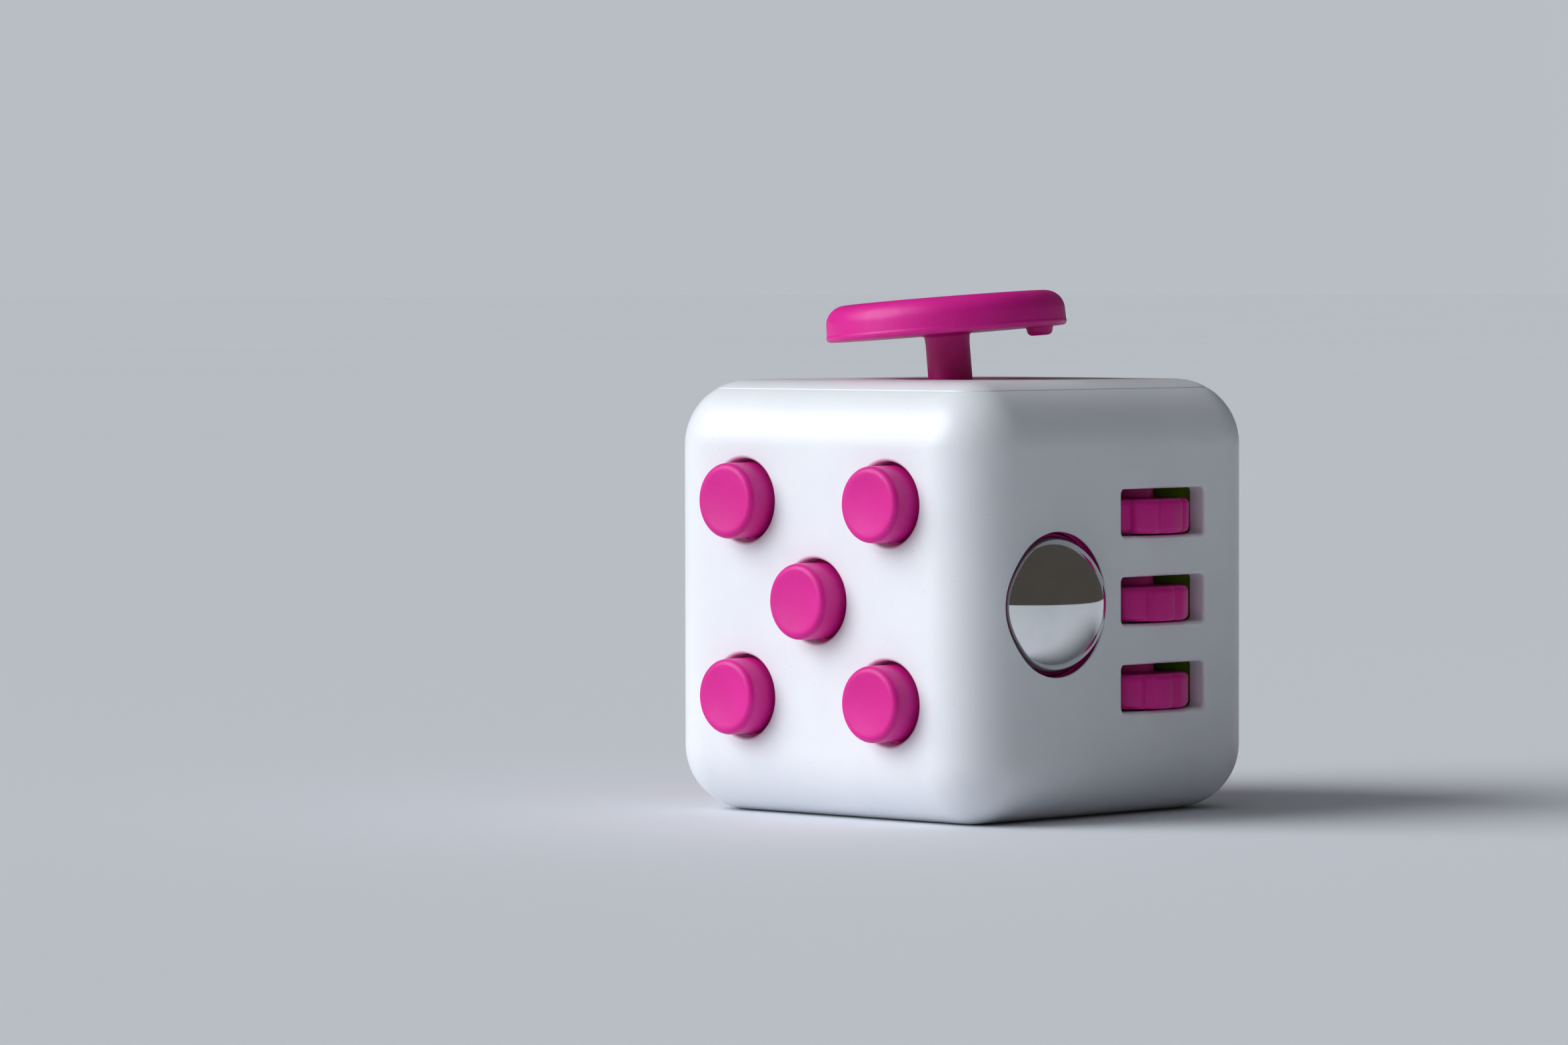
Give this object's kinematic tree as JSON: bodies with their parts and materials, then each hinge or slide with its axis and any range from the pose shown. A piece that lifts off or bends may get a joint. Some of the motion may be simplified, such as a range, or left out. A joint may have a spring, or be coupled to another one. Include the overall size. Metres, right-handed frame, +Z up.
{
  "type": "fidget cube",
  "caption": "Pocket cube with rounded edges and a different hand control on each side: click buttons, glide stick, roll ball with wheels, rocker, dial and thumb dish.",
  "frame": {"origin": "centre of the flat rest face under the cube", "axes": "+Z up through the glide stick, -Y the side with five click buttons, +X the side with the ball and wheels"},
  "size_m": [0.0373, 0.037, 0.0398],
  "materials": {
    "white_plastic": "smooth moulded white plastic with a soft gloss",
    "magenta_plastic": "moulded magenta plastic, satin, slightly dusty on the sides of the buttons",
    "chrome": "polished steel ball",
    "green_plastic": "moulded green plastic, inside the slots",
    "grey_plastic": "plain grey moulded inner parts",
    "spring_steel": "plain steel springs, pins and screws"
  },
  "bodies": {
    "housing": {"shell": "white_plastic", "top_panel": "white_plastic", "joystick_cradle": "grey_plastic", "cradle_screws": "spring_steel", "centering_spring": "spring_steel", "spring_seat": "grey_plastic", "button_spring_1": "spring_steel", "button_spring_2": "spring_steel", "button_spring_3": "spring_steel", "button_spring_4": "spring_steel", "button_spring_5": "spring_steel", "snap_domes": "spring_steel", "button_frame": "grey_plastic", "frame_screws": "spring_steel", "ball_ring": "magenta_plastic", "ball_housing": "grey_plastic", "ball_spring": "spring_steel", "housing_screws": "spring_steel", "gear_axle": "spring_steel", "gear_bracket": "green_plastic", "bracket_screws": "spring_steel", "rocker_pins": "spring_steel", "rocker_cradle": "grey_plastic", "rocker_screws": "spring_steel", "spin_washer": "spring_steel"},
    "gimbal": {"gimbal_ring": "grey_plastic", "ring_pins": "spring_steel", "stem_pin": "spring_steel"},
    "stick": {"joystick_stem": "magenta_plastic", "joystick_disc": "magenta_plastic"},
    "click_1": {"button_1": "magenta_plastic"},
    "click_2": {"button_2": "magenta_plastic"},
    "click_3": {"button_3": "magenta_plastic"},
    "click_4": {"button_4": "magenta_plastic"},
    "click_5": {"button_5": "magenta_plastic"},
    "ball_carrier": {"ball_cup": "grey_plastic"},
    "roll_ball": {"ball": "chrome"},
    "thumb_wheel_top": {"wheel_top": "magenta_plastic"},
    "thumb_wheel_mid": {"wheel_mid": "magenta_plastic"},
    "thumb_wheel_low": {"wheel_low": "magenta_plastic"},
    "flip": {"rocker": "magenta_plastic", "detent_spring": "spring_steel", "detent_ball": "chrome"},
    "spinner": {"dial": "magenta_plastic", "dial_washer": "spring_steel", "dial_screw": "spring_steel"}
  },
  "joints": [
    {"name": "tilt_side", "type": "hinge", "parent": "housing", "child": "gimbal", "pos_m": [0, 0, 0.0215], "axis": [0, 1, 0], "range_deg": [-6, 14], "stiffness_Nm_per_rad": 0.004, "deforming": ["centering_spring"]},
    {"name": "tilt_front", "type": "hinge", "parent": "gimbal", "child": "stick", "pos_m": [0, 0, 0.0215], "axis": [0.9976, 0, 0.0698], "range_deg": [-12.2, 7.8], "stiffness_Nm_per_rad": 0.004, "deforming": ["centering_spring"]},
    {"name": "click_1_press", "type": "slide", "parent": "housing", "child": "click_1", "axis": [0, 1, 0], "range_m": [0, 0.0012], "stiffness_N_per_m": 500, "deforming": ["button_spring_1"]},
    {"name": "click_2_press", "type": "slide", "parent": "housing", "child": "click_2", "axis": [0, 1, 0], "range_m": [0, 0.0012], "stiffness_N_per_m": 500, "deforming": ["button_spring_2"]},
    {"name": "click_3_press", "type": "slide", "parent": "housing", "child": "click_3", "axis": [0, 1, 0], "range_m": [0, 0.0012], "stiffness_N_per_m": 500, "deforming": ["button_spring_3"]},
    {"name": "click_4_press", "type": "slide", "parent": "housing", "child": "click_4", "axis": [0, 1, 0], "range_m": [0, 0.0012], "stiffness_N_per_m": 500, "deforming": ["button_spring_4"]},
    {"name": "click_5_press", "type": "slide", "parent": "housing", "child": "click_5", "axis": [0, 1, 0], "range_m": [0, 0.0012], "stiffness_N_per_m": 500, "deforming": ["button_spring_5"]},
    {"name": "ball_press", "type": "slide", "parent": "housing", "child": "ball_carrier", "axis": [-1, 0, 0], "range_m": [0, 0.0008], "stiffness_N_per_m": 900, "deforming": ["ball_spring"]},
    {"name": "ball_roll", "type": "hinge", "parent": "ball_carrier", "child": "roll_ball", "pos_m": [0.01375, -0.00748, 0.0164], "axis": [0, 0, 1], "continuous": true},
    {"name": "wheel_top_spin", "type": "hinge", "parent": "housing", "child": "thumb_wheel_top", "pos_m": [0.0124, 0.00453, 0.0165], "axis": [0, 0, 1], "continuous": true},
    {"name": "wheel_mid_spin", "type": "hinge", "parent": "housing", "child": "thumb_wheel_mid", "pos_m": [0.0124, 0.00453, 0.0165], "axis": [0, 0, 1], "continuous": true},
    {"name": "wheel_low_spin", "type": "hinge", "parent": "housing", "child": "thumb_wheel_low", "pos_m": [0.0124, 0.00453, 0.0165], "axis": [0, 0, 1], "continuous": true},
    {"name": "rocker_flip", "type": "hinge", "parent": "housing", "child": "flip", "pos_m": [0, 0.0132, 0.0165], "axis": [1, 0, 0], "range_deg": [0, 20]},
    {"name": "dial_turn", "type": "hinge", "parent": "housing", "child": "spinner", "pos_m": [-0.0165, 0, 0.0165], "axis": [-1, 0, 0], "continuous": true}
  ]
}
